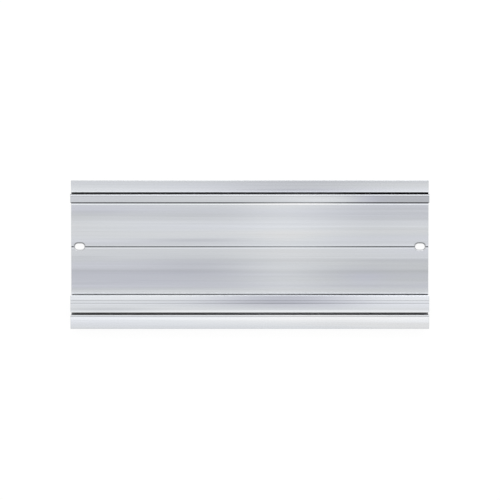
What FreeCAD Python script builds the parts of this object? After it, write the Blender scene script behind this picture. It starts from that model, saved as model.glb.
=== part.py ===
"""Mounting rail for a programmable controller: one length of aluminium extrusion.

The rail lies on its back. X runs along the extrusion, Y is up when the rail is on a wall, and Z comes
out of the wall. The origin is the centre of the back, in the plane that touches the wall. All sizes are
in millimetres.

The section is drawn as one closed outline, with a radius at each corner, and extruded over the whole
length. Both fixing slots are then punched through the web, on the drill groove.
"""

import FreeCAD, Part
import math
import os
from FreeCAD import Vector

# Overall size
rail_length = 374.0
rail_height = 155.0
rail_depth = 16.0

# Walls and levels, measured out from the wall
seat_wall = 2.3          # bands that touch the wall, and the top flange
web_wall = 2.5
web_level = 4.5          # front of the web
flank_run = 2.0          # height over which a wall slopes from one level to the next

# Top flange, curved forward towards its free edge
top_flange_height = 12.5
top_flange_rise = 2.0
top_flange_radius = 38.0

# Hook ridge that the modules hang on
hook_gap = 1.8           # seen from the front, between the flange and the hook's free edge
hook_height = 9.1
hook_level = 14.5
hook_wall = 2.2
hook_stem = 2.5
hook_bead = 2.2          # raised band along the free edge
hook_nose_round = 1.0    # front of the free edge

# Drill groove, and the slots punched on it
fixing_line_from_top = 69.4
drill_groove_width = 1.1
drill_groove_depth = 0.55
slot_length = 10.0
slot_width = 6.5
slot_inset = 8.7         # from the end of the rail to the middle of the slot
slot_edge_round = 1.4
punch_overshoot = 1.0    # past the back and past the front of the web
rib_offset = 6.5         # from the fixing line to the middle of each back rib
rib_wall = 2.2

# Standard 35 mm section for clip-on devices, with its screw channel
din_width = 35.2
din_lip_overhang = 5.4
din_lip_wall = 1.5
din_plate_wall = 2.0
din_side_wall = 2.2
din_recess_gap = 0.3     # seen from the front, between the web and the upper lip
din_face_fall = 0.5      # how far the face drops back towards the lower lip
foot_reach = 3.4
face_groove_from_lip = 5.2
face_groove_width = 3.4
channel_from_bottom = 16.0
channel_mouth = 2.5
channel_depth = 11.0
channel_wall = 1.8
channel_land = 1.6       # lowered strip below the mouth
relief = 0.25            # step of the bead, of the face groove and of the land

# Corner radii
fine_round = 0.3
edge_round = 0.6
inner_round = 0.9
hook_fillet = 1.5
shared_side = 0.98       # most of a short side that the arcs at its two ends take together

# Heights of the features
top = rail_height / 2
bottom = -rail_height / 2
trench_top = top - top_flange_height
hook_edge = trench_top - hook_gap
hook_foot = hook_edge - hook_height
fixing_line = top - fixing_line_from_top
din_lip_edge = bottom + din_width
web_bottom = din_lip_edge + din_recess_gap
upper_side = din_lip_edge - din_lip_overhang
lower_side = bottom + din_lip_overhang
channel_line = bottom + channel_from_bottom

# Levels of the features
web_back = web_level - web_wall
flange_back = web_level - seat_wall
hook_back = hook_level - hook_wall
lip_back = rail_depth - din_lip_wall
plate_back = rail_depth - din_plate_wall
channel_floor = rail_depth - channel_depth
face_level_at_bottom = rail_depth - din_face_fall

# Slope of the flanks, and how far their back is set off to keep the wall's thickness
flank_drop = web_level - seat_wall
flank_slope = flank_run / flank_drop
flank_shift = seat_wall * math.hypot(flank_run, flank_drop) / flank_drop


def flank_back(flank_top, level):
    """Height of a flank's back face at a level, for a flank whose front starts at flank_top."""
    return flank_top + flank_shift - (web_level - level) * flank_slope


def face_level(height):
    """Level of the lower half of the 35 mm face, which drops back evenly to the bottom edge."""
    start = channel_line
    return rail_depth - din_face_fall * (start - height) / (start - bottom)


def top_flange_front():
    """Free edge of the top flange, its curved face, and the flank down into the trench."""
    bend = (top + trench_top) / 2
    return [
        (top, 0, fine_round),
        (top, web_level + top_flange_rise, edge_round),
        (bend, web_level, top_flange_radius),
        (trench_top, web_level, fine_round),
        (trench_top - flank_run, seat_wall, inner_round),
    ]


def hook_front():
    """Channel behind the hook, the hook's free edge with its bead, and the hook's face."""
    bead = hook_edge - hook_bead
    stem = hook_foot + hook_stem
    return [
        (stem, seat_wall, inner_round),
        (stem, hook_back, inner_round),
        (hook_edge, hook_back, edge_round),
        (hook_edge, hook_level, hook_nose_round),
        (bead, hook_level, 0),
        (bead - relief, hook_level - relief, 0),
        (hook_foot, hook_level - relief, edge_round),
        (hook_foot, web_level, hook_fillet),
    ]


def web_front():
    """Flat web with the drill groove, and the flank down behind the upper lip."""
    half = drill_groove_width / 2
    return [
        (fixing_line + half, web_level, 0),
        (fixing_line, web_level - drill_groove_depth, 0),
        (fixing_line - half, web_level, 0),
        (web_bottom, web_level, edge_round),
        (web_bottom - flank_run, seat_wall, inner_round),
    ]


def din_front():
    """Upper lip, the face with its shallow groove, the screw channel, and the lower lip."""
    groove = din_lip_edge - face_groove_from_lip
    half = channel_mouth / 2
    mouth_top = channel_line + half
    mouth_bottom = channel_line - half
    land = mouth_bottom - channel_land
    land_level = rail_depth - relief
    return [
        (upper_side, seat_wall, inner_round),
        (upper_side, lip_back, inner_round),
        (din_lip_edge, lip_back, fine_round),
        (din_lip_edge, rail_depth, edge_round),
        (groove, rail_depth, 0),
        (groove - relief, rail_depth - relief, 0),
        (groove - face_groove_width + relief, rail_depth - relief, 0),
        (groove - face_groove_width, rail_depth, 0),
        (mouth_top, rail_depth, fine_round),
        (mouth_top, channel_floor, half),
        (mouth_bottom, channel_floor, half),
        (mouth_bottom, land_level, fine_round),
        (land, land_level, 0),
        (land - relief, face_level(land - relief), 0),
        (bottom, face_level_at_bottom, edge_round),
        (bottom, lip_back, fine_round),
        (lower_side, lip_back, inner_round),
        (lower_side, seat_wall, inner_round),
        (lower_side - foot_reach, seat_wall, edge_round),
        (lower_side - foot_reach, 0, fine_round),
    ]


def din_back():
    """Hollow behind the 35 mm face, with the screw channel's wall standing in it."""
    channel_half = channel_mouth / 2 + channel_wall
    channel_back = channel_floor - channel_wall
    return [
        (lower_side + din_side_wall, 0, fine_round),
        (lower_side + din_side_wall, plate_back, inner_round),
        (channel_line - channel_half, plate_back, inner_round),
        (channel_line - channel_half, channel_back, channel_wall),
        (channel_line + channel_half, channel_back, channel_wall),
        (channel_line + channel_half, plate_back, inner_round),
        (upper_side - din_side_wall, plate_back, inner_round),
        (upper_side - din_side_wall, 0, fine_round),
        (flank_back(web_bottom, 0), 0, fine_round),
        (flank_back(web_bottom, web_back), web_back, inner_round),
    ]


def back_rib(middle):
    """Rib that carries the web on the wall beside the fixing line."""
    half = rib_wall / 2
    return [
        (middle - half, web_back, inner_round),
        (middle - half, 0, fine_round),
        (middle + half, 0, fine_round),
        (middle + half, web_back, inner_round),
    ]


def top_back():
    """Foot of the hook, the flank behind the trench, and the back of the top flange."""
    bend = (top + trench_top) / 2
    edge_rib = top - seat_wall
    edge_rib_level = flange_back + top_flange_rise * (edge_rib - bend) / (top - bend)
    return [
        (hook_foot, web_back, inner_round),
        (hook_foot, 0, fine_round),
        (flank_back(trench_top, 0), 0, fine_round),
        (flank_back(trench_top, flange_back), flange_back, fine_round),
        (bend, flange_back, top_flange_radius + seat_wall),
        (edge_rib, edge_rib_level, inner_round),
        (edge_rib, 0, fine_round),
    ]


def rounded_outline(corners, x):
    """Closed wire through corners (y, z, radius) at one x, each corner rounded by a tangent arc.

    Where two arcs would meet on a short side, both are reduced to share it.
    """
    count = len(corners)
    points = [Vector(x, y, z) for y, z, radius in corners]
    sides = [points[(i + 1) % count] - points[i] for i in range(count)]
    half_angles = [sides[i].getAngle(-sides[i - 1]) / 2 for i in range(count)]
    tangents = [corners[i][2] / math.tan(half_angles[i]) for i in range(count)]
    share = [1.0] * count
    for i in range(count):
        j = (i + 1) % count
        need = tangents[i] + tangents[j]
        room = shared_side * sides[i].Length
        if need > room:
            scale = room / need
            share[i] = min(share[i], scale)
            share[j] = min(share[j], scale)

    edges = []
    ends = []
    for i in range(count):
        to_next = Vector(sides[i]).normalize()
        to_last = Vector(sides[i - 1]).normalize() * -1
        tangent = tangents[i] * share[i]
        start = points[i] + to_last * tangent
        end = points[i] + to_next * tangent
        if tangent > 0:
            radius = tangent * math.tan(half_angles[i])
            inward = (to_next + to_last).normalize()
            middle = points[i] + inward * (radius / math.sin(half_angles[i]) - radius)
            edges.append(Part.Arc(start, middle, end).toShape())
        ends.append((start, end))
    for i in range(count):
        edges.append(Part.LineSegment(ends[i][1], ends[(i + 1) % count][0]).toShape())
    return Part.Wire(Part.__sortEdges__(edges))


def section(x):
    """Face of the extrusion's section, at one x."""
    corners = top_flange_front() + hook_front() + web_front() + din_front() + din_back()
    for side in (-1, 1):
        corners += back_rib(fixing_line + side * rib_offset)
    corners += top_back()
    return Part.Face(rounded_outline(corners, x))


def punch_profile(both_sides):
    """Half or whole section of the slot punch about the Z axis, flared to roll the web's front edge."""
    straight = slot_width / 2
    mouth = straight + slot_edge_round
    shoulder = web_level - slot_edge_round
    diagonal = slot_edge_round * math.cos(math.pi / 4)
    low = -punch_overshoot
    high = web_level + punch_overshoot

    def flare(side):
        start = Vector(0, side * straight, shoulder)
        middle = Vector(0, side * (mouth - diagonal), shoulder + diagonal)
        return Part.Arc(start, middle, Vector(0, side * mouth, web_level)).toShape()

    left = -1 if both_sides else 0
    edges = [
        Part.LineSegment(Vector(0, left * straight, low), Vector(0, straight, low)).toShape(),
        Part.LineSegment(Vector(0, straight, low), Vector(0, straight, shoulder)).toShape(),
        flare(1),
        Part.LineSegment(Vector(0, mouth, web_level), Vector(0, mouth, high)).toShape(),
        Part.LineSegment(Vector(0, mouth, high), Vector(0, left * mouth, high)).toShape(),
    ]
    if both_sides:
        edges += [
            Part.LineSegment(Vector(0, -mouth, high), Vector(0, -mouth, web_level)).toShape(),
            flare(-1),
            Part.LineSegment(Vector(0, -straight, shoulder), Vector(0, -straight, low)).toShape(),
        ]
    else:
        edges.append(Part.LineSegment(Vector(0, 0, high), Vector(0, 0, low)).toShape())
    return Part.Face(Part.Wire(Part.__sortEdges__(edges)))


def slot_punch(x):
    """Punch for one fixing slot: two turned ends joined by a straight middle."""
    run = slot_length - slot_width
    punch = punch_profile(True).extrude(Vector(run, 0, 0))
    punch.translate(Vector(-run / 2, 0, 0))
    for side in (-1, 1):
        end = punch_profile(False).revolve(Vector(0, 0, 0), Vector(0, 0, 1), 360)
        end.translate(Vector(side * run / 2, 0, 0))
        punch = punch.fuse(end)
    punch.translate(Vector(x, fixing_line, 0))
    return punch


def mounting_rail():
    """The whole rail: the extruded section with its fixing slots."""
    rail = section(-rail_length / 2).extrude(Vector(rail_length, 0, 0))
    for side in (-1, 1):
        rail = rail.cut(slot_punch(side * (rail_length / 2 - slot_inset)))
    return rail.removeSplitter()


os.makedirs("parts", exist_ok=True)
rail = mounting_rail()
if rail.ShapeType != "Solid":
    rail = rail.Solids[0]
rail.exportStep("parts/mounting_rail.step")
print(f"mounting_rail: valid {rail.isValid()}, volume {rail.Volume:.1f} mm3")
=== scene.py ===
"""Looks of the mounting rail: one length of drawn aluminium, sawn at its ends and punched with two slots.

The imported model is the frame. The rail is rebuilt here from its section, with finer radii and deburred
ends, and it stands for the plain node. X runs along the rail, Y is up when the rail is on a wall, and Z
comes out of the wall. All sizes are in metres.
"""

import logging
import math
from dataclasses import dataclass, field
from enum import Enum
from functools import reduce

import bmesh
import bpy
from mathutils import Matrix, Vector


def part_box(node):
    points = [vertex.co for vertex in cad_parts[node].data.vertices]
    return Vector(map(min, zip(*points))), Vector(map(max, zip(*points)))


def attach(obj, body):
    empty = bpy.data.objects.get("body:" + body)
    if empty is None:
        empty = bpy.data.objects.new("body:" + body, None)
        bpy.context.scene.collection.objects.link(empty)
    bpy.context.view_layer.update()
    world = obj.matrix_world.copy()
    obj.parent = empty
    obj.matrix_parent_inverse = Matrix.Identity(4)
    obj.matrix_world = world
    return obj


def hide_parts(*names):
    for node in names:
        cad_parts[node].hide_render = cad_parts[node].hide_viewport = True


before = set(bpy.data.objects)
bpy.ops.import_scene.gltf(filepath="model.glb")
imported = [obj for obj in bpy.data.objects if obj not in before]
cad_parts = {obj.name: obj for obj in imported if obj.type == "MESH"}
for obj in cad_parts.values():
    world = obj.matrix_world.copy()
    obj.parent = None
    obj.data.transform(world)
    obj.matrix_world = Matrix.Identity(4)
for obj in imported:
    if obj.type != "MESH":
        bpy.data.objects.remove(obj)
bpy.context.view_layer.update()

MM = 0.001
RAIL_NODE = "mounting_rail"
RAIL_BODY = "root"
WALL_SHARE_FOR_BENDS = 0.98
NOISE_ROUGHNESS = 0.55

Colour = tuple[float, float, float, float]
Socket = bpy.types.NodeSocket
Surface = dict[str, Socket | float | Colour]

log = logging.getLogger("mounting_rail")


class Finish(Enum):
    """The finishes on the rail, in the order of its material slots."""

    # DRAWN carries painted reflection, PUNCHED a painted shade on its upper side, and SAWN is plain. The
    # others are painted shade: darker colours that stand in for the shadow in channels, grooves, gaps and
    # steps.
    DRAWN = 0
    CHANNEL = 1
    LINE = 2
    SAWN = 3
    PUNCHED = 4
    RESIDUE = 5
    FACE_LINE = 6
    TRENCH = 7
    HOOK_FILLET = 8
    LIP_FLANK = 9


@dataclass(frozen=True)
class Corner:
    """One corner of the section, with the finish of the wall after it and of a share of its bend."""

    y: float
    z: float
    radius: float = 0.0
    wall: Finish = Finish.DRAWN
    bend: Finish = Finish.DRAWN
    share: tuple[float, float] = (0.0, 1.0)


@dataclass(frozen=True)
class OutlinePoint:
    """One point of the rounded outline, its direction out of the metal and the finish after it."""

    y: float
    z: float
    out_y: float
    out_z: float
    finish: Finish


@dataclass
class RailSection:
    """The rail's section, from the free edge of the top flange down to the lower lip and back.

    Heights are along Y and levels along Z, from the wall out. A shadow is the share of a bend, from its
    start to its end, darkened as painted shadow. Painted shade also darkens a flat strip below the drill
    groove.
    """

    height: float
    depth: float

    seat_wall: float = 2.3 * MM
    web_wall: float = 2.5 * MM
    web_level: float = 4.5 * MM
    flank_run: float = 2.0 * MM

    top_flange_height: float = 12.5 * MM
    top_flange_rise: float = 2.0 * MM
    top_flange_radius: float = 38.0 * MM

    hook_gap: float = 1.8 * MM
    hook_height: float = 9.1 * MM
    hook_level: float = 14.5 * MM
    hook_wall: float = 2.2 * MM
    hook_stem: float = 2.5 * MM
    hook_bead: float = 2.2 * MM

    fixing_line_from_top: float = 69.4 * MM
    drill_groove_width: float = 1.1 * MM
    drill_groove_depth: float = 0.55 * MM
    rib_offset: float = 6.5 * MM
    rib_wall: float = 2.2 * MM

    din_width: float = 35.2 * MM
    din_lip_overhang: float = 5.4 * MM
    din_lip_wall: float = 1.5 * MM
    din_plate_wall: float = 2.0 * MM
    din_side_wall: float = 2.2 * MM
    din_recess_gap: float = 0.3 * MM
    din_face_fall: float = 0.5 * MM
    foot_reach: float = 3.4 * MM
    face_groove_from_lip: float = 5.2 * MM
    face_groove_width: float = 3.4 * MM
    channel_from_bottom: float = 16.0 * MM
    channel_mouth: float = 2.5 * MM
    channel_depth: float = 11.0 * MM
    channel_wall: float = 1.8 * MM
    channel_land: float = 1.6 * MM
    relief: float = 0.25 * MM

    fine_round: float = 0.3 * MM
    mouth_edge_round: float = 0.25 * MM
    groove_shadow_strip: float = 0.24 * MM
    edge_round: float = 0.6 * MM
    inner_round: float = 0.9 * MM
    hook_fillet: float = 1.5 * MM
    hook_nose_round: float = 1.0 * MM
    nose_shadow: tuple[float, float] = (0.0, 0.78)
    foot_shadow: tuple[float, float] = (0.1, 1.0)
    fillet_shadow: tuple[float, float] = (0.0, 0.55)
    flank_shadow: tuple[float, float] = (0.4, 1.0)
    mouth_shadow: tuple[float, float] = (0.0, 0.75)
    arc_step: float = math.radians(11.0)

    top: float = field(init=False)
    bottom: float = field(init=False)
    trench_top: float = field(init=False)
    hook_edge: float = field(init=False)
    hook_foot: float = field(init=False)
    fixing_line: float = field(init=False)
    lip_edge: float = field(init=False)
    web_bottom: float = field(init=False)
    upper_side: float = field(init=False)
    lower_side: float = field(init=False)
    bead_edge: float = field(init=False)
    groove_top: float = field(init=False)
    groove_end: float = field(init=False)
    channel_line: float = field(init=False)
    mouth_top: float = field(init=False)
    mouth_bottom: float = field(init=False)
    land_edge: float = field(init=False)

    def __post_init__(self) -> None:
        """Works out the heights of the features."""
        self.top = self.height / 2
        self.bottom = -self.height / 2
        self.trench_top = self.top - self.top_flange_height
        self.hook_edge = self.trench_top - self.hook_gap
        self.hook_foot = self.hook_edge - self.hook_height
        self.fixing_line = self.top - self.fixing_line_from_top
        self.lip_edge = self.bottom + self.din_width
        self.web_bottom = self.lip_edge + self.din_recess_gap
        self.upper_side = self.lip_edge - self.din_lip_overhang
        self.lower_side = self.bottom + self.din_lip_overhang
        self.bead_edge = self.hook_edge - self.hook_bead
        self.groove_top = self.lip_edge - self.face_groove_from_lip
        self.groove_end = self.groove_top - self.face_groove_width
        self.channel_line = self.bottom + self.channel_from_bottom
        self.mouth_top = self.channel_line + self.channel_mouth / 2
        self.mouth_bottom = self.channel_line - self.channel_mouth / 2
        self.land_edge = self.mouth_bottom - self.channel_land

    def flank_back(self, flank_top: float, level: float) -> float:
        """Finds the back of a sloped wall.

        Args:
            flank_top: Height at which the front of the slope starts.
            level: Level at which the back is wanted.

        Returns:
            The height of the back face at that level.
        """
        drop = self.web_level - self.seat_wall
        shift = self.seat_wall * math.hypot(self.flank_run, drop) / drop
        return flank_top + shift - (self.web_level - level) * self.flank_run / drop

    def face_level(self, height: float) -> float:
        """Finds the level of the lower half of the 35 mm face.

        Args:
            height: Height on the face, below the screw channel.

        Returns:
            The level there, which drops back evenly towards the lower lip.
        """
        share = (self.channel_line - height) / (self.channel_line - self.bottom)
        return self.depth - self.din_face_fall * share

    def top_flange_front(self) -> list[Corner]:
        """Gives the flange's free edge, its curved face and the flank down into the trench.

        Returns:
            The corners, in order.
        """
        bend = (self.top + self.trench_top) / 2
        flank_foot = self.trench_top - self.flank_run
        return [
            Corner(self.top, 0.0, self.fine_round),
            Corner(self.top, self.web_level + self.top_flange_rise, self.edge_round),
            Corner(bend, self.web_level, self.top_flange_radius),
            # The trench below the flange is darkened as painted shadow.
            Corner(self.trench_top, self.web_level, self.fine_round, Finish.TRENCH),
            Corner(flank_foot, self.seat_wall, self.inner_round, Finish.TRENCH, Finish.TRENCH),
        ]

    def hook_front(self) -> list[Corner]:
        """Gives the channel behind the hook, the hook's free edge with its bead, and its face.

        Returns:
            The corners, in order.
        """
        back = self.hook_level - self.hook_wall
        stem = self.hook_foot + self.hook_stem
        face = self.hook_level - self.relief
        nose = self.hook_nose_round
        fillet = self.hook_fillet
        return [
            # Painted shadow darkens the channel and trench behind the hook, its nose and its foot, and
            # painted shade darkens the bead's step.
            Corner(stem, self.seat_wall, self.inner_round, Finish.CHANNEL, Finish.TRENCH),
            Corner(stem, back, self.inner_round, Finish.CHANNEL, Finish.CHANNEL),
            Corner(self.hook_edge, back, self.edge_round, Finish.TRENCH, Finish.CHANNEL),
            Corner(self.hook_edge, self.hook_level, nose, bend=Finish.RESIDUE, share=self.nose_shadow),
            Corner(self.bead_edge, self.hook_level, wall=Finish.LINE),
            Corner(self.bead_edge - self.relief, face),
            Corner(self.hook_foot, face, self.edge_round, Finish.CHANNEL, Finish.RESIDUE, self.foot_shadow),
            Corner(self.hook_foot, self.web_level, fillet, bend=Finish.HOOK_FILLET, share=self.fillet_shadow),
        ]

    def web_front(self) -> list[Corner]:
        """Gives the flat web with its drill groove, and the flank down behind the upper lip.

        Returns:
            The corners, in order.
        """
        half = self.drill_groove_width / 2
        flank = Finish.LIP_FLANK
        return [
            Corner(self.fixing_line + half, self.web_level),
            # Painted shade darkens the drill groove's lower wall and the strip below it, and the flank behind
            # the upper lip.
            Corner(self.fixing_line, self.web_level - self.drill_groove_depth, wall=Finish.LINE),
            Corner(self.fixing_line - half, self.web_level, wall=Finish.LINE),
            Corner(self.fixing_line - half - self.groove_shadow_strip, self.web_level),
            Corner(self.web_bottom, self.web_level, self.edge_round, flank, flank, self.flank_shadow),
            Corner(self.web_bottom - self.flank_run, self.seat_wall, self.inner_round, Finish.CHANNEL, flank),
        ]

    def din_front(self) -> list[Corner]:
        """Gives the upper lip, the 35 mm face with its groove and screw channel, and the lower lip.

        Returns:
            The corners, in order.
        """
        half = self.channel_mouth / 2
        channel_floor = self.depth - self.channel_depth
        sunk = self.depth - self.relief
        slope_top = self.land_edge - self.relief
        edge_round = self.inner_round / 2
        lip_back = self.depth - self.din_lip_wall
        foot = self.lower_side - self.foot_reach
        return [
            # Painted shade darkens the backs of the lips, the steps of the face groove, the screw channel and
            # the step under it.
            Corner(self.upper_side, self.seat_wall, self.inner_round, Finish.CHANNEL, Finish.CHANNEL),
            Corner(self.upper_side, lip_back, self.inner_round, Finish.CHANNEL, Finish.CHANNEL),
            Corner(self.lip_edge, lip_back, self.fine_round),
            Corner(self.lip_edge, self.depth, self.edge_round),
            Corner(self.groove_top, self.depth, wall=Finish.FACE_LINE),
            Corner(self.groove_top - self.relief, sunk),
            Corner(self.groove_end + self.relief, sunk, wall=Finish.FACE_LINE),
            Corner(self.groove_end, self.depth),
            Corner(self.mouth_top, self.depth, self.mouth_edge_round, Finish.CHANNEL),
            Corner(self.mouth_top, channel_floor, half, Finish.CHANNEL, Finish.CHANNEL),
            Corner(self.mouth_bottom, channel_floor, half, Finish.CHANNEL, Finish.CHANNEL),
            Corner(self.mouth_bottom, sunk, edge_round, bend=Finish.CHANNEL, share=self.mouth_shadow),
            Corner(self.land_edge, sunk, wall=Finish.RESIDUE),
            Corner(slope_top, self.face_level(slope_top)),
            Corner(self.bottom, self.depth - self.din_face_fall, self.edge_round),
            Corner(self.bottom, lip_back, self.fine_round, Finish.CHANNEL),
            Corner(self.lower_side, lip_back, self.inner_round, Finish.CHANNEL, Finish.CHANNEL),
            Corner(self.lower_side, self.seat_wall, self.inner_round, Finish.CHANNEL, Finish.CHANNEL),
            Corner(foot, self.seat_wall, self.edge_round),
            Corner(foot, 0.0, self.fine_round),
        ]

    def din_back(self) -> list[Corner]:
        """Gives the hollow behind the 35 mm face, with the screw channel's wall in it.

        Returns:
            The corners, in order.
        """
        web_back = self.web_level - self.web_wall
        plate_back = self.depth - self.din_plate_wall
        channel_half = self.channel_mouth / 2 + self.channel_wall
        channel_back = self.depth - self.channel_depth - self.channel_wall
        lower_inside = self.lower_side + self.din_side_wall
        upper_inside = self.upper_side - self.din_side_wall
        return [
            Corner(lower_inside, 0.0, self.fine_round),
            Corner(lower_inside, plate_back, self.inner_round),
            Corner(self.channel_line - channel_half, plate_back, self.inner_round),
            Corner(self.channel_line - channel_half, channel_back, self.channel_wall),
            Corner(self.channel_line + channel_half, channel_back, self.channel_wall),
            Corner(self.channel_line + channel_half, plate_back, self.inner_round),
            Corner(upper_inside, plate_back, self.inner_round),
            Corner(upper_inside, 0.0, self.fine_round),
            Corner(self.flank_back(self.web_bottom, 0.0), 0.0, self.fine_round),
            Corner(self.flank_back(self.web_bottom, web_back), web_back, self.inner_round),
        ]

    def back_rib(self, middle: float) -> list[Corner]:
        """Gives one of the two ribs that carry the web beside the fixing line.

        Args:
            middle: Height of the rib's middle.

        Returns:
            The rib's four corners, from its lower side up.
        """
        web_back = self.web_level - self.web_wall
        half = self.rib_wall / 2
        return [
            Corner(middle - half, web_back, self.inner_round),
            Corner(middle - half, 0.0, self.fine_round),
            Corner(middle + half, 0.0, self.fine_round),
            Corner(middle + half, web_back, self.inner_round),
        ]

    def top_back(self) -> list[Corner]:
        """Gives the foot of the hook, the flank behind the trench and the back of the flange.

        Returns:
            The corners, in order.
        """
        web_back = self.web_level - self.web_wall
        flange_back = self.web_level - self.seat_wall
        bend = (self.top + self.trench_top) / 2
        edge_rib = self.top - self.seat_wall
        edge_rib_level = flange_back + self.top_flange_rise * (edge_rib - bend) / (self.top - bend)
        return [
            Corner(self.hook_foot, web_back, self.inner_round),
            Corner(self.hook_foot, 0.0, self.fine_round),
            Corner(self.flank_back(self.trench_top, 0.0), 0.0, self.fine_round),
            Corner(self.flank_back(self.trench_top, flange_back), flange_back, self.fine_round),
            Corner(bend, flange_back, self.top_flange_radius + self.seat_wall),
            Corner(edge_rib, edge_rib_level, self.inner_round),
            Corner(edge_rib, 0.0, self.fine_round),
        ]

    def corners(self) -> list[Corner]:
        """Gives every corner of the section, once round.

        Returns:
            The corners, from the free edge of the top flange on.
        """
        middles = (self.fixing_line - self.rib_offset, self.fixing_line + self.rib_offset)
        ribs = [corner for middle in middles for corner in self.back_rib(middle)]
        front = self.top_flange_front() + self.hook_front() + self.web_front() + self.din_front()
        return front + self.din_back() + ribs + self.top_back()

    def reaches(self, corners: list[Corner], sides: list[Vector], turns: list[float]) -> list[float]:
        """Finds how far the bend of each corner reaches along its two walls.

        Args:
            corners: The section's corners.
            sides: The walls that start at them.
            turns: The angles by which the outline turns at them.

        Returns:
            The reaches, cut back where two bends need more than the wall between them has.
        """
        count = len(corners)
        wanted = [corners[i].radius * math.tan(turns[i] / 2) for i in range(count)]
        share = [1.0] * count
        for i in range(count):
            j = (i + 1) % count
            need = wanted[i] + wanted[j]
            room = WALL_SHARE_FOR_BENDS * sides[i].length
            if need > room:
                share[i] = min(share[i], room / need)
                share[j] = min(share[j], room / need)
        return [wanted[i] * share[i] for i in range(count)]

    def bend(
        self, corner: Corner, before: Vector, after: Vector, turn: float, reach: float
    ) -> list[OutlinePoint]:
        """Rounds one corner with a tangent arc.

        Args:
            corner: The corner.
            before: Direction of the wall that ends there.
            after: Direction of the wall that starts there.
            turn: Angle between the two.
            reach: How far the arc reaches along each wall.

        Returns:
            The arc's points, or the one point of a sharp corner.
        """
        spot = Vector((corner.y, corner.z))
        out_before = Vector((before.y, -before.x))
        out_after = Vector((after.y, -after.x))
        if reach == 0:
            middle = (out_before + out_after) / (1 + out_before.dot(out_after))
            return [OutlinePoint(spot.x, spot.y, middle.x, middle.y, corner.wall)]
        radius = reach / math.tan(turn / 2)
        inward = (after - before).normalized()
        centre = spot + inward * (radius / math.cos(turn / 2))
        start = spot - before * reach - centre
        end = spot + after * reach - centre
        bulge = 1.0 if out_before.dot(inward) < 0 else -1.0
        steps = max(2, math.ceil(turn / self.arc_step))
        points: list[OutlinePoint] = []
        for step in range(steps + 1):
            mix = step / steps
            weight_start = math.sin((1 - mix) * turn) / math.sin(turn)
            weight_end = math.sin(mix * turn) / math.sin(turn)
            spoke = start * weight_start + end * weight_end
            out = spoke.normalized() * bulge
            place = centre + spoke
            bent = corner.share[0] <= (step + 0.5) / steps < corner.share[1]
            finish = corner.wall if step == steps else corner.bend if bent else Finish.DRAWN
            points.append(OutlinePoint(place.x, place.y, out.x, out.y, finish))
        return points

    def outline(self) -> list[OutlinePoint]:
        """Rounds the section's corners.

        Returns:
            The outline's points, in order, each with its direction out of the metal.
        """
        corners = self.corners()
        count = len(corners)
        spots = [Vector((corner.y, corner.z)) for corner in corners]
        sides = [spots[(i + 1) % count] - spots[i] for i in range(count)]
        ways = [side.normalized() for side in sides]
        turns = [sides[i - 1].angle(sides[i]) for i in range(count)]
        reaches = self.reaches(corners, sides, turns)
        bends = [self.bend(corners[i], ways[i - 1], ways[i], turns[i], reaches[i]) for i in range(count)]
        return [point for bend in bends for point in bend]


class Streaks(Enum):
    """Sets of drawn-out noise: turns for each metre along X, Y and Z, detail, and an offset as the seed."""

    HAIRLINES = ((3.5, 1100.0, 1100.0), 2.0, 0.0)
    DIE_LINES = ((4.0, 380.0, 380.0), 2.0, 3.7)
    DIE_BANDS = ((2.5, 130.0, 130.0), 1.0, 9.1)
    TINT_PATCHES = ((3.0, 70.0, 70.0), 1.0, 21.0)
    DULL_LINES = ((6.0, 330.0, 330.0), 2.0, 3.7)
    RESIDUE = ((5.0, 260.0, 260.0), 2.0, 12.9)
    SAW_MARKS = ((10.0, 30.0, 1500.0), 3.0, 1.3)
    PUNCH_DRAG = ((1200.0, 1200.0, 40.0), 2.0, 5.3)


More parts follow.
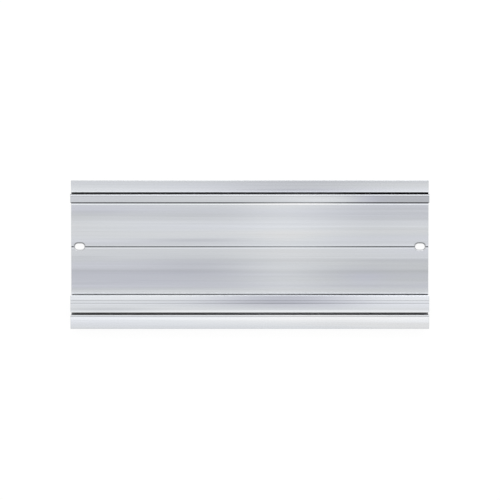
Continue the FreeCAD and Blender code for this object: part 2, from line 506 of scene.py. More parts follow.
class NodeBench:
    """Adds and joins the nodes of one tree."""

    def __init__(self, tree: bpy.types.NodeTree) -> None:
        """Clears the tree.

        Args:
            tree: The tree to work on.
        """
        self.tree = tree
        self.tree.nodes.clear()

    def add(self, kind: str, sockets: dict | None = None, **settings: object) -> bpy.types.Node:
        """Adds a node.

        Args:
            kind: Blender's name for the node, without its ShaderNode start.
            sockets: Input socket to its value, or to the output that feeds it.
            **settings: Properties of the node.

        Returns:
            The new node.
        """
        node = self.tree.nodes.new("ShaderNode" + kind)
        for name, value in settings.items():
            setattr(node, name, value)
        for name, value in (sockets or {}).items():
            if isinstance(value, bpy.types.NodeSocket):
                self.tree.links.new(value, node.inputs[name])
            else:
                node.inputs[name].default_value = value
        return node

    def math(self, operation: str, first: Socket | float, second: Socket | float = 0.0) -> Socket:
        """Adds a Math node.

        Args:
            operation: What it works out.
            first: A number or an output.
            second: A number or an output.

        Returns:
            The result's output.
        """
        return self.add("Math", {0: first, 1: second}, operation=operation).outputs[0]

    def total(self, *parts: Socket | float) -> Socket:
        """Adds all the parts up."""
        return reduce(lambda left, right: self.math("ADD", left, right), parts)

    def product(self, *parts: Socket | float) -> Socket:
        """Multiplies all the parts."""
        return reduce(lambda left, right: self.math("MULTIPLY", left, right), parts)

    def less(self, value: Socket | float, taken: Socket | float) -> Socket:
        """Takes one value from another."""
        return self.math("SUBTRACT", value, taken)

    def distance(self, value: Socket, middle: Socket | float) -> Socket:
        """Gives how far a value is from a middle."""
        return self.math("ABSOLUTE", self.less(value, middle))

    def fade(self, square: Socket) -> Socket:
        """Gives one where a squared distance is nought, and falls softly to nought."""
        return self.math("EXPONENT", self.product(square, -1.0))

    def bell(self, value: Socket, middle: float, spread: float) -> Socket:
        """Adds a soft bell round a middle, which falls to about a third within its spread."""
        share = self.math("DIVIDE", self.less(value, middle), spread)
        return self.fade(self.product(share, share))

    def rise(self, value: Socket, start: float, end: float, top: float = 1.0) -> Socket:
        """Adds a smooth rise from nought.

        Args:
            value: What it follows.
            start: Value at which it is still nought.
            end: Value at which it is complete.
            top: What it rises to.

        Returns:
            The risen value's output.
        """
        limits = {"Value": value, "From Min": start, "From Max": end, "To Max": top}
        return self.add("MapRange", limits, interpolation_type="SMOOTHSTEP").outputs[0]

    def even_rise(self, value: Socket, start: float, end: float) -> Socket:
        """Adds an even rise from nought at the start to one at the end."""
        return self.add("MapRange", {"Value": value, "From Min": start, "From Max": end}).outputs[0]

    def vector(self, operation: str, first: object, second: object) -> bpy.types.Node:
        """Adds a Vector Math node for two vectors."""
        return self.add("VectorMath", {0: first, 1: second}, operation=operation)

    def scaled(self, vector: Socket | tuple[float, float, float], factor: Socket) -> Socket:
        """Scales a vector or a colour."""
        return self.add("VectorMath", {0: vector, "Scale": factor}, operation="SCALE").outputs[0]

    def spot(self) -> Socket:
        """Gives the place on the rail."""
        return self.add("TexCoord").outputs["Object"]

    def place(self) -> bpy.types.bpy_prop_collection:
        """Gives the place on the rail as X, Y and Z."""
        return self.add("SeparateXYZ", {0: self.spot()}).outputs

    def streaks(self, kind: Streaks) -> Socket:
        """Adds one set of drawn-out noise.

        Args:
            kind: Which set.

        Returns:
            The noise, around a half.
        """
        turns, detail, seed = kind.value
        drawn = self.add("Mapping", {"Vector": self.spot(), "Location": (seed, seed, seed), "Scale": turns})
        noise = {"Vector": drawn.outputs[0], "Scale": 1.0, "Detail": detail, "Roughness": NOISE_ROUGHNESS}
        return self.add("TexNoise", noise).outputs["Fac"]

    def sway(self, noise: Socket, swing: float) -> Socket:
        """Turns noise around a half into a sway around nought."""
        return self.product(self.less(noise, 0.5), swing)

    def two_tone(
        self, value: Socket, first: Colour, second: Colour, ends: tuple[float, float] = (0.0, 1.0)
    ) -> Socket:
        """Mixes two colours.

        Args:
            value: What the mix follows.
            first: Colour up to the first end.
            second: Colour from the second end.
            ends: The values at which the mix starts and ends.

        Returns:
            The mixed colour.
        """
        ramp = self.add("ValToRGB", {"Fac": value})
        for element, place, colour in zip(ramp.color_ramp.elements, ends, (first, second)):
            element.position = place
            element.color = colour
        return ramp.outputs["Color"]

    def bump(self, height: Socket, strength: float, distance: float) -> Socket:
        """Turns a height into the normal of a rough surface."""
        return self.add("Bump", {"Strength": strength, "Distance": distance, "Height": height}).outputs[0]


class MetalFinish:
    """A finish of bare metal. Each kind gives its own surface."""

    name: str

    def surface(self, bench: NodeBench) -> Surface:
        """Gives the sockets of the metal, such as its colour and its roughness."""
        raise NotImplementedError

    def material(self) -> bpy.types.Material:
        """Builds the material.

        Returns:
            The material, whose one shader is the metal.
        """
        made = bpy.data.materials.new(self.name)
        made.use_nodes = True
        bench = NodeBench(made.node_tree)
        metal = bench.add("BsdfPrincipled", {"Metallic": 1.0, **self.surface(bench)})
        bench.add("OutputMaterial", {"Surface": metal.outputs[0]})
        return made


@dataclass(frozen=True)
class Strip:
    """One strip along the drawn face: its tones, and how much its middle and right differ, are painted
    reflection and shade.
    """

    name: str
    high: float
    low: float
    tone_high: float
    tone_low: float
    middle: float = 0.0
    right: float = 0.0
    blue: float = 0.35

    @classmethod
    def line(cls, name: str, place: float, tone: float, *rest: float) -> "Strip":
        """Makes a strip without height, for a place where the tones turn."""
        return cls(name, place, place, tone, tone, *rest)

    def stops(self) -> list[tuple[float, Colour]]:
        """Gives the strip's ends, from the lower one up, or its one line.

        Returns:
            Pairs of height and values: the tone, the two differences plus a half, and the blue.
        """
        rest = (self.middle + 0.5, self.right + 0.5, self.blue)
        low = (self.low, (self.tone_low, *rest))
        high = (self.high, (self.tone_high, *rest))
        return [low] if low == high else [low, high]


@dataclass(frozen=True)
class Glint:
    """A painted highlight beside a line; with a gain below nought it is a painted shadow."""

    name: str
    place: float
    reach: float
    gain: float


@dataclass(frozen=True)
class Shade:
    """A painted reflection: a soft long patch of the drawn face that is dimmer, brighter or bluer than what
    is round it.
    """

    name: str
    x: float
    y: float
    half_length: float
    half_height: float
    gain: float
    blue: float = 0.0


@dataclass(frozen=True)
class DrawnAluminium(MetalFinish):
    """Mill-finished aluminium with the fine lines that the die leaves along the rail, under painted
    reflection and shade.
    """

    section: RailSection
    name: str = "mill_aluminium"
    warm: Colour = (0.990, 1.0, 1.015, 1.0)
    plain: Colour = (0.970, 1.0, 1.042, 1.0)
    blue: Colour = (0.972, 0.995, 1.115, 1.0)
    plain_share: float = 0.33
    hairline_share: float = 0.3
    line_share: float = 0.5
    band_share: float = 0.4
    streak_depth: float = 0.17
    patch_swing: float = 1.2
    # The tint turns bluer where the painted reflection dims the metal.
    cool_when_dim: float = 1.2
    roughness: float = 0.21
    roughness_swing: float = 0.08
    anisotropy: float = 0.5
    anisotropy_turn: float = 0.25
    hairline_strength: float = 0.2
    hairline_height: float = 0.01 * MM
    # Painted reflection along the rail: brighter round light_place, dimmer round dim_place, darker towards
    # the right end.
    light_place: float = 36.0 * MM
    light_spread: float = 48.0 * MM
    dim_place: float = 41.0 * MM
    dim_lean: float = 0.19
    dim_spread: float = 84.0 * MM
    right_start: float = 82.0 * MM
    right_full: float = 142.0 * MM

    def strips(self) -> list[Strip]:
        """Lists the strips of the face, from the rail's top down.

        Returns:
            The strips.
        """
        sec = self.section
        bead = sec.bead_edge
        web_top = sec.hook_foot - sec.hook_fillet
        line = sec.fixing_line
        foot = sec.web_bottom
        groove = sec.groove_top
        mouth = sec.mouth_top
        return [
            Strip("top_flange", sec.top, sec.trench_top, 0.68, 0.80, -0.145, 0.0),
            Strip.line("hook_nose", sec.hook_edge - 1.7 * MM, 0.83, 0.02, -0.09),
            Strip.line("hook_bead", bead, 0.65, 0.0, -0.17),
            Strip("hook_face", bead - sec.relief, sec.hook_foot, 0.62, 0.62, 0.0, -0.25),
            Strip("upper_web", web_top, line + 33.5 * MM, 0.64, 0.565, 0.13, -0.05, 0.45),
            Strip("bright_web", line + 22.0 * MM, line + 8.5 * MM, 0.67, 0.665, 0.08, -0.035),
            Strip("groove_web", line + 5.0 * MM, line - 11.3 * MM, 0.63, 0.63, 0.08, 0.005, 0.42),
            Strip("grey_web", line - 13.9 * MM, line - 22.3 * MM, 0.57, 0.59, 0.11, -0.055, 0.45),
            Strip.line("dim_web", line - 25.8 * MM, 0.495, 0.18, -0.05, 0.55),
            Strip("lower_web", line - 29.7 * MM, foot + 7.9 * MM, 0.54, 0.56, 0.15, 0.0, 0.75),
            Strip("web_edge", foot + 4.8 * MM, foot, 0.61, 0.735, 0.08, 0.0, 0.42),
            Strip.line("upper_lip", sec.lip_edge - 0.7 * MM, 0.80, -0.36, 0.05),
            Strip.line("lip_face", groove, 0.80, -0.36, 0.01),
            Strip("face_groove", groove - sec.relief, sec.groove_end, 0.73, 0.76, -0.32, 0.02),
            Strip.line("upper_face", sec.groove_end - 1.2 * MM, 0.745, -0.19, 0.06),
            Strip.line("face_foot", mouth + 3.0 * MM, 0.685, -0.06, 0.06),
            Strip("channel_edge", mouth + 2.1 * MM, mouth, 0.80, 0.87, 0.02),
            Strip.line("land", sec.mouth_bottom, 0.65, 0.04),
            Strip("lower_face", sec.land_edge - sec.relief, sec.bottom + 6.5 * MM, 0.905, 0.80, 0.02, 0.04),
            Strip("lower_edge", sec.bottom + 6.0 * MM, sec.bottom, 0.77, 0.70, 0.02, 0.03, 0.25),
        ]

    def glints(self) -> list[Glint]:
        """Lists the painted highlights, and one painted shadow, from the rail's top down.

        Returns:
            The edges.
        """
        sec = self.section
        return [
            Glint("trench_edge", sec.trench_top + 0.8 * MM, 1.4 * MM, 0.18),
            Glint("under_hook", sec.hook_foot - 1.8 * MM, 0.78 * MM, 0.62),
            Glint("above_drill_groove", sec.fixing_line + 1.4 * MM, 1.2 * MM, 0.12),
            Glint("below_drill_groove", sec.fixing_line - 1.6 * MM, 1.1 * MM, 0.20),
            Glint("web_edge", sec.web_bottom + 1.5 * MM, 1.3 * MM, 0.15),
            Glint("upper_lip", sec.lip_edge - 0.3 * MM, 0.9 * MM, 0.20),
            Glint("channel_mouth", sec.mouth_top, 0.7 * MM, 0.62),
            Glint("land_step", sec.land_edge - 0.2 * MM, 0.7 * MM, -0.16),
        ]

    def shades(self) -> list[Shade]:
        """Lists the painted reflections, from the rail's top down.

        Returns:
            The patches.
        """
        sec = self.section
        line = sec.fixing_line
        return [
            Shade("flange_left", -75.0 * MM, sec.trench_top + 6.5 * MM, 95.0 * MM, 2.0 * MM, -0.045),
            Shade("flange_streak", 42.0 * MM, sec.trench_top + 2.4 * MM, 62.0 * MM, 1.6 * MM, -0.12),
            Shade("hook_blue", 126.0 * MM, sec.hook_foot + 4.5 * MM, 16.0 * MM, 4.0 * MM, 0.0, 0.45),
            Shade("nose_dusk", 95.0 * MM, sec.hook_edge - 1.7 * MM, 32.0 * MM, 1.2 * MM, -0.08),
            Shade("hook_shine", 66.0 * MM, sec.hook_foot + 3.0 * MM, 45.0 * MM, 4.5 * MM, 0.125),
            Shade("foot_shine", 61.0 * MM, sec.hook_foot - 0.9 * MM, 60.0 * MM, 0.7 * MM, 0.24),
            Shade("left_blue", -145.0 * MM, sec.hook_foot - 6.5 * MM, 65.0 * MM, 5.5 * MM, 0.0, 0.28),
            Shade("left_dusk", -172.0 * MM, sec.hook_foot - 9.7 * MM, 40.0 * MM, 3.5 * MM, -0.07),
            Shade("left_light", -141.0 * MM, line + 27.0 * MM, 60.0 * MM, 6.0 * MM, 0.045),
            Shade("left_cool", -125.0 * MM, line + 29.0 * MM, 70.0 * MM, 7.0 * MM, 0.0, 0.16),
            Shade("right_dim", 115.0 * MM, line + 22.0 * MM, 50.0 * MM, 12.0 * MM, -0.03, -0.08),
            Shade("middle_warmth", 40.0 * MM, line + 10.0 * MM, 38.0 * MM, 8.0 * MM, 0.0, -0.22),
            Shade("groove_cool", -60.0 * MM, line - 5.0 * MM, 95.0 * MM, 5.0 * MM, 0.0, 0.16),
            Shade("streak_above_groove", -56.0 * MM, line + 6.7 * MM, 58.0 * MM, 2.0 * MM, -0.16),
            Shade("beside_slot", -178.0 * MM, line - 10.9 * MM, 35.0 * MM, 2.3 * MM, -0.08),
            Shade("web_dusk", -56.0 * MM, line - 21.0 * MM, 56.0 * MM, 9.0 * MM, -0.09),
            Shade("right_dusk", 96.0 * MM, line - 24.0 * MM, 42.0 * MM, 5.0 * MM, -0.045),
            Shade("right_blue", 120.0 * MM, line - 33.0 * MM, 22.0 * MM, 7.0 * MM, 0.0, 0.45),
            Shade("edge_dusk", 90.0 * MM, sec.web_bottom + 0.4 * MM, 110.0 * MM, 0.8 * MM, -0.17),
            Shade("face_left", -150.0 * MM, sec.channel_line + 4.2 * MM, 50.0 * MM, 3.0 * MM, -0.14),
            Shade("lower_left", -175.0 * MM, sec.channel_line - 6.0 * MM, 70.0 * MM, 9.0 * MM, -0.03),
        ]

    def glint_sum(self, bench: NodeBench, height: Socket) -> Socket:
        """Adds up the painted highlights and the painted shadow.

        Args:
            bench: The material's bench.
            height: Height on the face, in metres.

        Returns:
            The share by which the painted highlights and shadow change the metal's tone at that height.
        """
        gains = []
        for glint in self.glints():
            gain = bench.rise(bench.distance(height, glint.place), glint.reach, 0.0, glint.gain)
            gain.node.label = glint.name
            gains.append(gain)
        return bench.total(*gains)

    def shade_sum(self, bench: NodeBench) -> Socket:
        """Adds up the painted reflections.

        Args:
            bench: The material's bench.

        Returns:
            As X the share by which the patches change the metal's tone, as Y their blue.
        """
        spot = bench.spot()
        total: Socket | tuple[float, float, float] = (0.0, 0.0, 0.0)
        for shade in self.shades():
            off = bench.vector("SUBTRACT", spot, (shade.x, shade.y, 0.0)).outputs[0]
            reach = (1.0 / shade.half_length, 1.0 / shade.half_height, 0.0)
            scaled = bench.vector("MULTIPLY", off, reach).outputs[0]
            square = bench.vector("DOT_PRODUCT", scaled, scaled).outputs["Value"]
            part = bench.scaled((shade.gain, shade.blue, 0.0), bench.fade(square))
            part.node.label = shade.name
            total = bench.vector("ADD", part, total).outputs[0]
        return total

    def strip_ramp(self, bench: NodeBench, height: Socket) -> bpy.types.Node:
        """Turns the height on the face into its strip's tone, differences and tint.

        Args:
            bench: The material's bench.
            height: Height on the face, in metres.

        Returns:
            A ramp whose red is the tone, whose green and blue are the middle's and the right's
            differences plus a half, and whose alpha is the share of blue.
        """
        sec = self.section
        share = bench.math("DIVIDE", bench.less(height, sec.bottom), sec.height)
        ramp = bench.add("ValToRGB", {"Fac": share})
        stops = [stop for strip in reversed(self.strips()) for stop in strip.stops()]
        elements = ramp.color_ramp.elements
        while len(elements) < len(stops):
            elements.new(1.0)
        for element, (place, _) in zip(elements, stops):
            element.position = min(max((place - sec.bottom) / sec.height, 0.0), 1.0)
        for element, (_, values) in zip(elements, stops):
            element.color = values
        return ramp

    def lengthwise(
        self, bench: NodeBench, place: bpy.types.bpy_prop_collection, tones: bpy.types.Node
    ) -> Socket:
        """Works out the painted reflection along the rail.

        Args:
            bench: The material's bench.
            place: The place on the rail as X, Y and Z.
            tones: Node that gives the strip's tone and its two differences.

        Returns:
            The share by which the tone changes there.
        """
        middle = bench.less(tones.outputs["Green"], 0.5)
        right = bench.less(tones.outputs["Blue"], 0.5)
        leaning = bench.less(place["X"], bench.product(place["Y"], self.dim_lean))
        light = bench.bell(place["X"], self.light_place, self.light_spread)
        dim = bench.bell(leaning, self.dim_place, self.dim_spread)
        return bench.total(
            bench.product(light, bench.math("MAXIMUM", middle, 0.0)),
            bench.product(dim, bench.math("MINIMUM", middle, 0.0)),
            bench.product(bench.rise(place["X"], self.right_start, self.right_full), right),
        )

    def die_marks(self, bench: NodeBench) -> Socket:
        """Mixes the streaks that the die leaves.

        Args:
            bench: The material's bench.

        Returns:
            The share by which the streaks change the metal's tone.
        """
        kinds = (Streaks.HAIRLINES, Streaks.DIE_LINES, Streaks.DIE_BANDS)
        shares = (self.hairline_share, self.line_share, self.band_share)
        parts = [bench.product(bench.streaks(kind), share) for kind, share in zip(kinds, shares)]
        return bench.product(bench.less(bench.total(*parts), sum(shares) / 2), 2.0 * self.streak_depth)

    def colour(self, bench: NodeBench) -> Socket:
        """Mixes the strips' painted tones, highlights and reflections, the streaks and the tints.

        Args:
            bench: The material's bench.

        Returns:
            The metal's colour.
        """
        place = bench.place()
        ramp = self.strip_ramp(bench, place["Y"])
        tones = bench.add("SeparateColor", {0: ramp.outputs["Color"]})
        shades = bench.add("SeparateXYZ", {0: self.shade_sum(bench)}).outputs
        along = bench.total(self.lengthwise(bench, place, tones), shades["X"])
        change = bench.total(along, self.die_marks(bench), self.glint_sum(bench, place["Y"]), 1.0)
        level = bench.product(tones.outputs["Red"], change)
        patches = bench.sway(bench.streaks(Streaks.TINT_PATCHES), self.patch_swing)
        # Dim painted reflection makes the tint bluer.
        cool = bench.less(patches, bench.product(along, self.cool_when_dim))
        hue = bench.add("ValToRGB", {"Fac": bench.total(cool, shades["Y"], ramp.outputs["Alpha"])})
        hue.color_ramp.elements[0].color = self.warm
        hue.color_ramp.elements[1].color = self.blue
        hue.color_ramp.elements.new(self.plain_share).color = self.plain
        return bench.scaled(hue.outputs["Color"], level)

    def surface(self, bench: NodeBench) -> Surface:
        """Gives the colour, a gloss that is drawn out along the rail, and the hairlines.

        Args:
            bench: The material's bench.

        Returns:
            The sockets of the metal.
        """
        swing = bench.sway(bench.streaks(Streaks.DULL_LINES), self.roughness_swing)
        hairlines = bench.streaks(Streaks.HAIRLINES)
        return {
            "Base Color": self.colour(bench),
            "Roughness": bench.total(swing, self.roughness),
            "Anisotropic": self.anisotropy,
            "Anisotropic Rotation": self.anisotropy_turn,
            "Tangent": bench.add("CombineXYZ", {"X": 1.0}).outputs[0],
            "Normal": bench.bump(hairlines, self.hairline_strength, self.hairline_height),
        }


@dataclass(frozen=True)
class ChannelAluminium(MetalFinish):
    """Metal inside the channels, darkened as painted shade that grows with depth, with painted reflection
    along the rail.
    """

    name: str = "channel_aluminium"
    deep: Colour = (0.34, 0.345, 0.355, 1.0)
    shallow: Colour = (0.44, 0.45, 0.465, 1.0)
    deep_level: float = 5.0 * MM
    shallow_level: float = 13.0 * MM
    level_swing: float = 3.0 * MM
    right_share: float = 0.0
    right_start: float = 85.0 * MM
    right_full: float = 122.0 * MM
    middle_gain: float = 0.3
    middle_place: float = 40.0 * MM
    middle_reach: float = 150.0 * MM
    roughness: float = 0.42
    grain_strength: float = 0.3
    grain_height: float = 0.02 * MM

    def surface(self, bench: NodeBench) -> Surface:
        """Gives a painted shade that follows the depth and the place along the rail, and the grain.

        Args:
            bench: The material's bench.

        Returns:
            The sockets of the metal.
        """
        place = bench.place()
        lines = bench.streaks(Streaks.DULL_LINES)
        level = bench.total(place["Z"], bench.sway(lines, self.level_swing))
        depth = bench.even_rise(level, self.deep_level, self.shallow_level)
        tone = bench.two_tone(depth, self.deep, self.shallow)
        off = bench.distance(place["X"], self.middle_place)
        gain = bench.rise(off, self.middle_reach, 0.0, self.middle_gain)
        fall = bench.rise(place["X"], self.right_start, self.right_full, self.right_share)
        return {
            "Base Color": bench.scaled(tone, bench.less(bench.total(gain, 1.0), fall)),
            "Roughness": self.roughness,
            "Normal": bench.bump(lines, self.grain_strength, self.grain_height),
        }


@dataclass(frozen=True)
class LineAluminium(MetalFinish):
    """Small steps, grooves and inner corners, darkened as painted shade, with painted reflection along the
    rail.
    """

    name: str = "line_aluminium"
    dark: Colour = (0.18, 0.184, 0.19, 1.0)
    light: Colour = (0.33, 0.338, 0.35, 1.0)
    middle_reflection: Colour = (0.50, 0.51, 0.53, 1.0)
    shadow_noise_ends: tuple[float, float] = (0.35, 0.65)
    middle_reflection_share: float = 0.8
    middle_reflection_place: float = 41.0 * MM
    middle_reflection_lean: float = 0.375
    middle_reflection_reach: float = 85.0 * MM
    right_share: float = 0.05
    right_start: float = 60.0 * MM
    right_full: float = 130.0 * MM
    roughness: float = 0.35
    grain_strength: float = 0.15
    grain_height: float = 0.02 * MM

    def surface(self, bench: NodeBench) -> Surface:
        """Gives the painted shade's colour, changed by painted reflection in the rail's middle and darker at
        the right.

        Args:
            bench: The material's bench.

        Returns:
            The sockets of the metal.
        """
        place = bench.place()
        shadow_noise = bench.streaks(Streaks.RESIDUE)
        tone = bench.two_tone(shadow_noise, self.dark, self.light, self.shadow_noise_ends)
        middle = bench.total(bench.product(place["Y"], self.middle_reflection_lean), self.middle_reflection_place)
        reflection_mix = bench.rise(bench.distance(place["X"], middle), self.middle_reflection_reach, 0.0, self.middle_reflection_share)
        mixed = bench.add("Mix", {"Factor": reflection_mix, 6: tone, 7: self.middle_reflection}, data_type="RGBA").outputs[2]
        fall = bench.rise(place["X"], self.right_start, self.right_full, self.right_share)
        return {
            "Base Color": bench.scaled(mixed, bench.less(1.0, fall)),
            "Roughness": self.roughness,
            "Normal": bench.bump(shadow_noise, self.grain_strength, self.grain_height),
        }


@dataclass(frozen=True)
class SawnAluminium(MetalFinish):
    """Cut ends of the rail, with the marks of the saw."""

    name: str = "sawn_aluminium"
    colour: Colour = (0.50, 0.51, 0.53, 1.0)
    roughness: float = 0.28
    roughness_swing: float = 0.2
    mark_strength: float = 0.5
    mark_height: float = 0.05 * MM

    def surface(self, bench: NodeBench) -> Surface:
        """Gives an even colour, with marks that change the gloss and the normal.

        Args:
            bench: The material's bench.

        Returns:
            The sockets of the metal.
        """
        marks = bench.streaks(Streaks.SAW_MARKS)
        return {
            "Base Color": self.colour,
            "Roughness": bench.total(bench.product(marks, self.roughness_swing), self.roughness),
            "Normal": bench.bump(marks, self.mark_strength, self.mark_height),
        }


@dataclass(frozen=True)
class PunchedAluminium(MetalFinish):
    """Walls and rolled edges of the slots, darkened on the upper side as painted shade."""

    middle: float
    name: str = "punched_aluminium"
    painted_upper_shade: Colour = (0.32, 0.33, 0.34, 1.0)
    lower_tone: Colour = (0.55, 0.56, 0.58, 1.0)
    lower_tone_until: float = 0.5 * MM
    painted_shade_from: float = 3.0 * MM
    roughness: float = 0.32
    drag_strength: float = 0.4
    drag_height: float = 0.03 * MM

    def surface(self, bench: NodeBench) -> Surface:
        """Gives a colour that darkens upwards as painted shade, and the marks of the punch.

        Args:
            bench: The material's bench.

        Returns:
            The sockets of the metal.
        """
        height = bench.less(bench.place()["Y"], self.middle)
        reach = bench.even_rise(height, self.lower_tone_until, self.painted_shade_from)
        return {
            "Base Color": bench.two_tone(reach, self.lower_tone, self.painted_upper_shade),
            "Roughness": self.roughness,
            "Normal": bench.bump(bench.streaks(Streaks.PUNCH_DRAG), self.drag_strength, self.drag_height),
        }


def add_object(name: str, data: bpy.types.ID) -> bpy.types.Object:
    """Puts data into the scene.

    Args:
        name: The object's name.
        data: Its mesh, lamp or camera.

    Returns:
        The object.
    """
    made = bpy.data.objects.new(name, data)
    bpy.context.scene.collection.objects.link(made)
    return made


def add_solid(name: str, rings: list[list[tuple[float, float, float]]]) -> bpy.types.Object:
    """Builds a closed solid.

    Args:
        name: The object's name.
        rings: Rings of as many points each, from one end to the other.

    Returns:
        The solid. Its faces are those between the rings, ring after ring, and then its two ends.
    """
    mesh = bmesh.new()
    loops = [[mesh.verts.new(spot) for spot in ring] for ring in rings]
    count = len(loops[0])
    for near, far in zip(loops, loops[1:]):
        for i in range(count):
            j = (i + 1) % count
            mesh.faces.new((near[i], near[j], far[j], far[i]))
    for loop in (loops[0], loops[-1]):
        mesh.faces.new(loop)
    bmesh.ops.recalc_face_normals(mesh, faces=mesh.faces)
    data = bpy.data.meshes.new(name)
    mesh.to_mesh(data)
    mesh.free()
    return add_object(name, data)


@dataclass
class SlotPunch:
    """The punch that makes a fixing slot and rolls the web's front edge round it."""

    length: float = 10.0 * MM
    width: float = 6.5 * MM
    edge_round: float = 1.4 * MM
    overshoot: float = 1.0 * MM
    arc_steps: int = 8
    ring_points: int = 24

    def rings(self, web_level: float) -> list[tuple[float, float]]:
        """Lists the punch's half widths and levels, from its low end up.

        Args:
            web_level: Level of the web's front.

        Returns:
            Pairs of half width and level.
        """
        straight = self.width / 2
        rings = [(straight, -self.overshoot)]
        for step in range(self.arc_steps + 1):
            angle = 0.5 * math.pi * step / self.arc_steps
            half = straight + self.edge_round * (1 - math.cos(angle))
            rings.append((half, web_level - self.edge_round * (1 - math.sin(angle))))
        rings.append((straight + self.edge_round, web_level + self.overshoot))
        return rings

    def tool(self, place: Vector, web_level: float) -> bpy.types.Object:
        """Builds the punch as a closed mesh.

        Args:
            place: Middle of the slot, seen from the front.
            web_level: Level of the web's front.

        Returns:
            The punch's object.
        """
        run = (self.length - self.width) / 2
        spokes = []
        for i in range(2 * self.ring_points):
            side = 1 if i < self.ring_points else -1
            angle = math.pi * (i % self.ring_points) / (self.ring_points - 1) - math.pi / 2
            spokes.append((side, side * math.cos(angle), side * math.sin(angle)))
        rings = []
        for half, level in self.rings(web_level):
            ring = [(place.x + side * run + half * x, place.y + half * y, level) for side, x, y in spokes]
            rings.append(ring)
        return add_solid("slot_punch", rings)


@dataclass
class MountingRail:
    """The whole rail: the extruded section, its deburred ends and its two slots."""

    low: Vector
    high: Vector
    slot_inset: float = 8.7 * MM
    deburr: float = 0.22 * MM
    end_span: float = 20.0 * MM
    middle_spans: int = 14
    sharp_angle: float = math.radians(28.0)
    section: RailSection = field(init=False)
    punch: SlotPunch = field(default_factory=SlotPunch)

    def __post_init__(self) -> None:
        """Fits the section to the frame."""
        self.section = RailSection(height=self.high.y - self.low.y, depth=self.high.z - self.low.z)

    def stations(self) -> list[tuple[float, float]]:
        """Lists the places along the rail that have a ring of points.

        Returns:
            Pairs of place along X and how far the outline is drawn in there.
        """
        first = self.low.x + self.end_span
        last = self.high.x - self.end_span
        rings = [(self.low.x, self.deburr), (self.low.x + self.deburr, 0.0)]
        for i in range(self.middle_spans + 1):
            rings.append((first + (last - first) * i / self.middle_spans, 0.0))
        rings += [(self.high.x - self.deburr, 0.0), (self.high.x, self.deburr)]
        return rings

    def extrusion(self) -> bpy.types.Object:
        """Builds the rail before its slots are punched.

        Returns:
            The extrusion's object.
        """
        outline = self.section.outline()
        rings = []
        for x, inset in self.stations():
            ring = [(x, point.y - point.out_y * inset, point.z - point.out_z * inset) for point in outline]
            rings.append(ring)
        rail = add_solid("rail_extrusion", rings)
        ends = len(rings) - 1
        for face in rail.data.polygons:
            span, i = divmod(face.index, len(outline))
            cut = span == ends or (span in (0, ends - 1) and outline[i].finish is Finish.DRAWN)
            face.use_smooth = span < ends
            face.material_index = Finish.SAWN.value if cut else outline[i].finish.value
        return rail

    def dress(self, rail: bpy.types.Object) -> None:
        """Gives the rail its finishes.

        Args:
            rail: The rail's object.
        """
        finishes = {
            Finish.DRAWN: DrawnAluminium(self.section),
            # Painted shade in the channels and along the small lines.
            Finish.CHANNEL: ChannelAluminium(),
            Finish.LINE: LineAluminium(),
            Finish.SAWN: SawnAluminium(),
            Finish.PUNCHED: PunchedAluminium(self.section.fixing_line),
            # Painted shadow along the hook's nose and foot and the land step, darker towards the right end.
            Finish.RESIDUE: LineAluminium(
                name="painted_shadow_aluminium",
                dark=(0.035, 0.036, 0.038, 1.0),
                light=(0.085, 0.087, 0.09, 1.0),
                middle_reflection_share=0.0,
                right_share=0.6,
            ),
            # Painted shadow on the hook's fillet, with a painted highlight in the rail's middle.
            Finish.HOOK_FILLET: LineAluminium(
                name="hook_fillet_aluminium",
                dark=(0.035, 0.036, 0.038, 1.0),
                light=(0.085, 0.087, 0.09, 1.0),
                middle_reflection=(0.95, 0.955, 0.965, 1.0),
                middle_reflection_share=1.0,
                middle_reflection_reach=100.0 * MM,
                right_share=0.9,
            ),
            # Painted shade on the flank behind the upper lip, darker towards the right end.
            Finish.LIP_FLANK: LineAluminium(
                name="lip_flank_aluminium",
                dark=(0.49, 0.50, 0.515, 1.0),
                light=(0.57, 0.58, 0.60, 1.0),
                middle_reflection=(0.68, 0.69, 0.71, 1.0),
                right_share=1.0,
                right_start=20.0 * MM,
            ),
            # Painted shade in the face groove's steps, darker still in the rail's middle as painted
            # reflection.
            Finish.FACE_LINE: LineAluminium(
                name="face_line_aluminium",
                dark=(0.20, 0.205, 0.215, 1.0),
                light=(0.32, 0.33, 0.345, 1.0),
                middle_reflection=(0.05, 0.051, 0.054, 1.0),
                middle_reflection_share=0.85,
                middle_reflection_lean=0.0,
                middle_reflection_reach=120.0 * MM,
                right_share=0.0,
            ),
            # Painted shadow in the gap above the hook, lighter in the middle and darker towards the right
            # end.
            Finish.TRENCH: ChannelAluminium(
                name="trench_aluminium",
                deep=(0.16, 0.163, 0.168, 1.0),
                right_share=1.0,
                middle_gain=0.6,
                middle_place=60.0 * MM,
                middle_reach=70.0 * MM,
            ),
        }
        for finish in Finish:
            rail.data.materials.append(finishes[finish].material())

    def punch_slots(self, rail: bpy.types.Object) -> None:
        """Punches a slot near each end of the rail.

        Args:
            rail: The rail's object.
        """
        for end in (self.low.x + self.slot_inset, self.high.x - self.slot_inset):
            place = Vector((end, self.section.fixing_line, 0.0))
            tool = self.punch.tool(place, self.section.web_level)
            for material in rail.data.materials:
                tool.data.materials.append(material)
            for face in tool.data.polygons:
                face.material_index = Finish.PUNCHED.value
                face.use_smooth = True
            cut = rail.modifiers.new("slot", "BOOLEAN")
            cut.operation = "DIFFERENCE"
            cut.solver = "EXACT"
            cut.object = tool
            self.settle(rail)
            bpy.data.objects.remove(tool)

    def settle(self, rail: bpy.types.Object) -> None:
        """Turns the rail's modifiers into its mesh.

        Args:
            rail: The rail's object.
        """
        view = bpy.context.evaluated_depsgraph_get()
        view.update()
        made = bpy.data.meshes.new_from_object(rail.evaluated_get(view), depsgraph=view)
        rail.modifiers.clear()
        rail.data = made

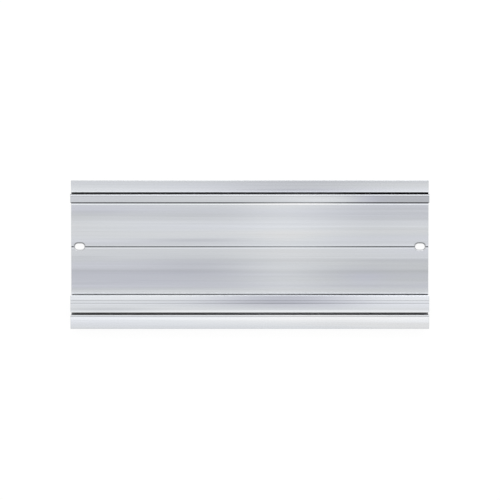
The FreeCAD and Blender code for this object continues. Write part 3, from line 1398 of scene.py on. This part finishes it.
    def build(self) -> bpy.types.Object:
        """Builds the rail, finishes it and puts it in place of the plain node.

        Returns:
            The rail's object.
        """
        rail = self.extrusion()
        self.dress(rail)
        self.punch_slots(rail)
        rail.data.set_sharp_from_angle(angle=self.sharp_angle)
        even = rail.modifiers.new("even_normals", "WEIGHTED_NORMAL")
        even.mode = "FACE_AREA"
        even.keep_sharp = True
        self.settle(rail)
        rail.name = "mounting_rail_dressed"
        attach(rail, RAIL_BODY)
        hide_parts(RAIL_NODE)
        log.info("%s: %d faces", rail.name, len(rail.data.polygons))
        return rail


@dataclass(frozen=True)
class SoftBox:
    """One soft lamp of the studio."""

    name: str
    place: tuple[float, float, float]
    aim: tuple[float, float, float]
    size: tuple[float, float]
    watts: float

    def build(self) -> bpy.types.Object:
        """Builds the lamp and turns it to its aim.

        Returns:
            The lamp's object.
        """
        data = bpy.data.lights.new(self.name, "AREA")
        data.shape = "RECTANGLE"
        data.size, data.size_y = self.size
        data.energy = self.watts
        lamp = add_object(self.name, data)
        lamp.location = self.place
        lamp.rotation_euler = (Vector(self.aim) - Vector(self.place)).to_track_quat("-Z", "Y").to_euler()
        log.info("lamp %s", self.name)
        return lamp


@dataclass(frozen=True)
class Studio:
    """Pale floor, soft lamp, plain world and the camera above the rail."""

    floor_size: float = 12.0
    floor_colour: Colour = (0.11, 0.11, 0.11, 1.0)
    floor_glow: float = 0.91
    world_bright: float = 1.13
    world_dim: float = 0.85
    horizon_loss: float = 0.45
    horizon_end: float = 0.5
    camera_aim: tuple[float, float, float] = (0.0002, 0.00455, 0.0045)
    camera_distance: float = 2.07
    camera_tilt: float = math.radians(1.8)
    field_width: float = 0.5237
    sensor: float = 36.0
    clip_start: float = 0.05
    key: SoftBox = SoftBox("key", (0.25, 1.1, 1.5), (0.0, 0.0, 0.0), (1.1, 0.6), 4.0)

    def seen_directly(self, bench: NodeBench) -> Socket:
        """Finds the rays of the camera, of gloss and of glass.

        Args:
            bench: The tree's bench.

        Returns:
            One for those rays, and nought for all others.
        """
        path = bench.add("LightPath")
        either = bench.math("MAXIMUM", path.outputs["Is Camera Ray"], path.outputs["Is Glossy Ray"])
        return bench.math("MAXIMUM", either, path.outputs["Is Transmission Ray"])

    def floor(self) -> bpy.types.Object:
        """Builds the floor that the rail lies on.

        Returns:
            The floor's object.
        """
        half = self.floor_size / 2
        data = bpy.data.meshes.new("floor")
        spots = [(-half, -half, 0.0), (half, -half, 0.0), (half, half, 0.0), (-half, half, 0.0)]
        data.from_pydata(spots, [], [(0, 1, 2, 3)])
        floor = add_object("floor", data)
        made = bpy.data.materials.new("studio_floor")
        made.use_nodes = True
        bench = NodeBench(made.node_tree)
        matt = bench.add("BsdfDiffuse", {"Color": self.floor_colour})
        glow = bench.math("MULTIPLY", self.seen_directly(bench), self.floor_glow)
        light = bench.add("Emission", {"Strength": glow})
        both = bench.add("AddShader", {0: matt.outputs[0], 1: light.outputs[0]})
        bench.add("OutputMaterial", {"Surface": both.outputs[0]})
        data.materials.append(made)
        log.info("floor")
        return floor

    def world(self) -> None:
        """Makes the world a plain soft light, dimmer towards the rail's lower side."""
        world = bpy.data.worlds.new("studio_world")
        bpy.context.scene.world = world
        world.use_nodes = True
        bench = NodeBench(world.node_tree)
        sky = bench.add("SeparateXYZ", {0: bench.add("TexCoord").outputs["Generated"]}).outputs
        swing = bench.rise(sky["Y"], -1.0, 1.0, self.world_bright - self.world_dim)
        slope = bench.total(swing, self.world_dim)
        loss = bench.rise(sky["Z"], self.horizon_end, 0.0, self.horizon_loss)
        level = bench.product(slope, bench.less(1.0, loss))
        light = bench.add("Background", {"Color": (1.0, 1.0, 1.0, 1.0), "Strength": level})
        bench.add("OutputWorld", {"Surface": light.outputs[0]})

    def camera(self) -> bpy.types.Object:
        """Builds the camera, which looks down on the rail.

        Returns:
            The camera's object.
        """
        data = bpy.data.cameras.new("studio_camera")
        data.sensor_width = self.sensor
        data.lens = self.sensor * self.camera_distance / self.field_width
        data.clip_start = self.clip_start
        camera = add_object("studio_camera", data)
        back = Vector((0.0, math.sin(self.camera_tilt), math.cos(self.camera_tilt)))
        camera.location = Vector(self.camera_aim) + back * self.camera_distance
        camera.rotation_euler = (-self.camera_tilt, 0.0, 0.0)
        bpy.context.scene.camera = camera
        log.info("camera")
        return camera

    def build(self) -> None:
        """Builds the camera, the world, the floor and the lamp."""
        self.camera()
        self.world()
        self.floor()
        self.key.build()


def main() -> None:
    """Builds the studio and the rail, in order."""
    logging.basicConfig(level=logging.INFO, format="%(message)s")
    scene = bpy.context.scene
    scene.view_settings.view_transform = "Standard"
    Studio().build()
    low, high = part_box(RAIL_NODE)
    MountingRail(low=low, high=high).build()


if __name__ == "__main__":
    main()
